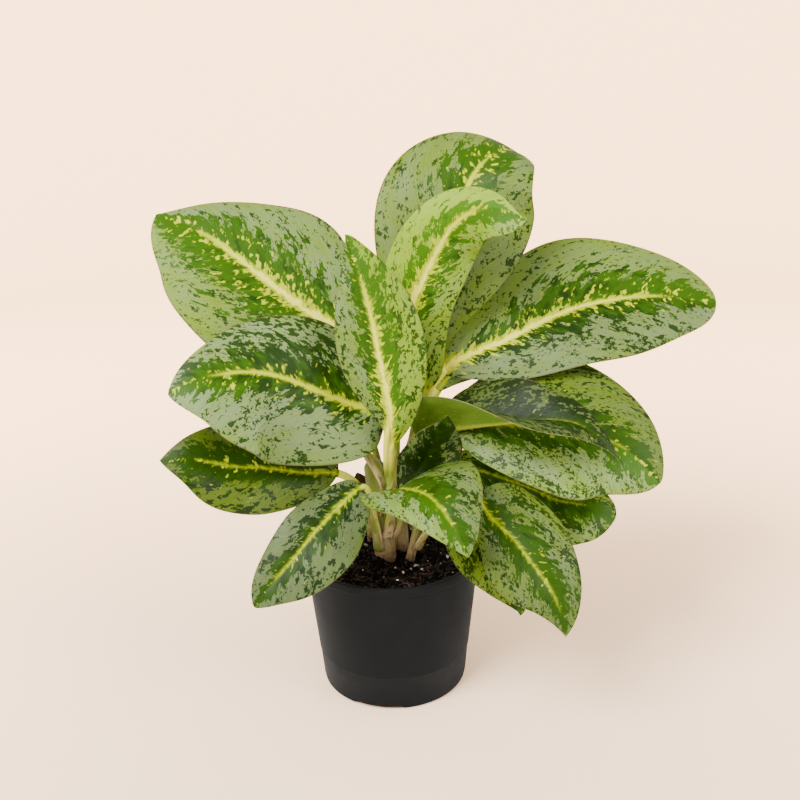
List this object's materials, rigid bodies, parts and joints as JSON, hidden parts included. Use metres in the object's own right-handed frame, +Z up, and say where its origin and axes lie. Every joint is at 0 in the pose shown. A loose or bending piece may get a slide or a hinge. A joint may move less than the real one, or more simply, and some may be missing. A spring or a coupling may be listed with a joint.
{
  "type": "potted aglaonema",
  "caption": "Potted aglaonema house plant: broad silver and green leaves with cream midribs on pale stalks, in a plain round black nursery pot of soil.",
  "frame": {"origin": "middle of the pot's underside, on the surface that the pot stands on", "axes": "+Z up along the pot's axis, -Y to the front of the plant, +X to the right seen from the front, along its widest spread"},
  "size_m": [0.3691, 0.2288, 0.3617],
  "materials": {
    "pot": "satin black polypropylene",
    "soil": "damp peat soil with bark fibres and perlite",
    "cane": "smooth green-cream cane",
    "dry_sheath": "dry papery brown",
    "leaf": "satin, silver-green with dark flecks and a cream midrib"
  },
  "bodies": {
    "root": {"pot": "pot", "soil": "soil", "stem_main": "cane", "stem_right": "cane", "stem_back": "cane", "dry_sheath": "dry_sheath", "leaf_centre": "leaf", "leaf_top_front": "leaf", "leaf_top_back": "leaf", "leaf_upper_left": "leaf", "leaf_left": "leaf", "leaf_lower_left": "leaf", "leaf_front_left": "leaf", "leaf_front_small": "leaf", "leaf_inner_small": "leaf", "leaf_right_folded": "leaf", "leaf_right": "leaf", "leaf_lower_right": "leaf", "leaf_front_right": "leaf", "leaf_under_right": "leaf", "leaf_upper_right": "leaf", "leaf_back_left": "leaf", "leaf_back": "leaf", "leaf_back_right": "leaf"}
  },
  "joints": []
}
